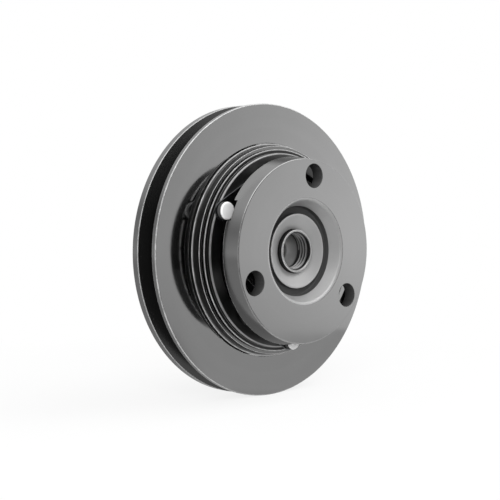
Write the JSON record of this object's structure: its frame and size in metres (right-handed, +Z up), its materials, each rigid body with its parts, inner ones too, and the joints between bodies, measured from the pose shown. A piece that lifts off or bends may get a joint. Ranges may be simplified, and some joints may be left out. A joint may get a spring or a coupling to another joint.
{
  "type": "electromagnetic clutch",
  "caption": "Belt-driven electromagnetic clutch: grooved pulley and rotor on a ball bearing, fixed field coil inside, sprung armature and dished hub plate with a removal thread.",
  "frame": {"origin": "on the spin axis, midway between the drive plate's front face and the field coil's mounting face", "axes": "+Y along the spin axis, from the hub's front towards the mounting face; +Z up as in the picture; +X to the right seen from the front"},
  "size_m": [0.152, 0.0546, 0.152],
  "materials": {
    "sheave_finish": "dark grey semi-gloss",
    "drive_plate_finish": "dark grey semi-gloss",
    "rotor_steel": "dark machined steel",
    "armature_steel": "dark machined steel",
    "field_steel": "dark plated steel",
    "bobbin_plastic": "moulded black",
    "copper": "enamelled wire",
    "resin": "potting resin",
    "rubber": "matt",
    "bright_steel": "turned",
    "bearing_steel": "ground",
    "cage_plastic": "moulded black",
    "spring_steel": "blued",
    "zinc": "bright zinc",
    "dark_steel": "oiled"
  },
  "bodies": {
    "field": {"coil_housing": "field_steel", "coil_bobbin": "bobbin_plastic", "coil_winding": "copper", "coil_cover": "resin", "mounting_plate": "field_steel", "lead_grommet": "rubber"},
    "hub": {"hub_sleeve": "bright_steel", "drive_plate": "drive_plate_finish", "bearing_inner_ring": "bearing_steel", "sleeve_snap_ring": "spring_steel", "spring_screw_1": "dark_steel", "spring_screw_2": "dark_steel", "spring_screw_3": "dark_steel", "leaf_spring_1": "spring_steel", "leaf_spring_2": "spring_steel", "leaf_spring_3": "spring_steel"},
    "pulley": {"pulley_sheave": "sheave_finish", "rotor": "rotor_steel", "bearing_outer_ring": "bearing_steel", "bearing_seal_front": "rubber", "bearing_seal_rear": "rubber", "rotor_snap_ring": "spring_steel"},
    "armature": {"armature_plate": "armature_steel", "armature_rivet_1": "zinc", "armature_rivet_2": "zinc", "armature_rivet_3": "zinc"},
    "cage": {"bearing_cage": "cage_plastic", "bearing_ball_1": "bearing_steel", "bearing_ball_2": "bearing_steel", "bearing_ball_3": "bearing_steel", "bearing_ball_4": "bearing_steel", "bearing_ball_5": "bearing_steel", "bearing_ball_6": "bearing_steel", "bearing_ball_7": "bearing_steel", "bearing_ball_8": "bearing_steel", "bearing_ball_9": "bearing_steel", "bearing_ball_10": "bearing_steel", "bearing_ball_11": "bearing_steel"}
  },
  "joints": [
    {"name": "hub_spin", "type": "hinge", "parent": "field", "child": "hub", "pos_m": [0, 0, 0], "axis": [0, 1, 0], "continuous": true},
    {"name": "pulley_spin", "type": "hinge", "parent": "hub", "child": "pulley", "pos_m": [0, 0, 0], "axis": [0, 1, 0], "continuous": true},
    {"name": "armature_slide", "type": "slide", "parent": "hub", "child": "armature", "axis": [0, 1, 0], "range_m": [0, 0.00048], "stiffness_N_per_m": 20000, "deforming": ["leaf_spring_1", "leaf_spring_2", "leaf_spring_3"]},
    {"name": "cage_spin", "type": "hinge", "parent": "hub", "child": "cage", "pos_m": [0, 0, 0], "axis": [0, 1, 0], "continuous": true}
  ],
  "couplings": [
    {"joint": "cage_spin", "follows": "pulley_spin", "ratio": 0.58186}
  ]
}
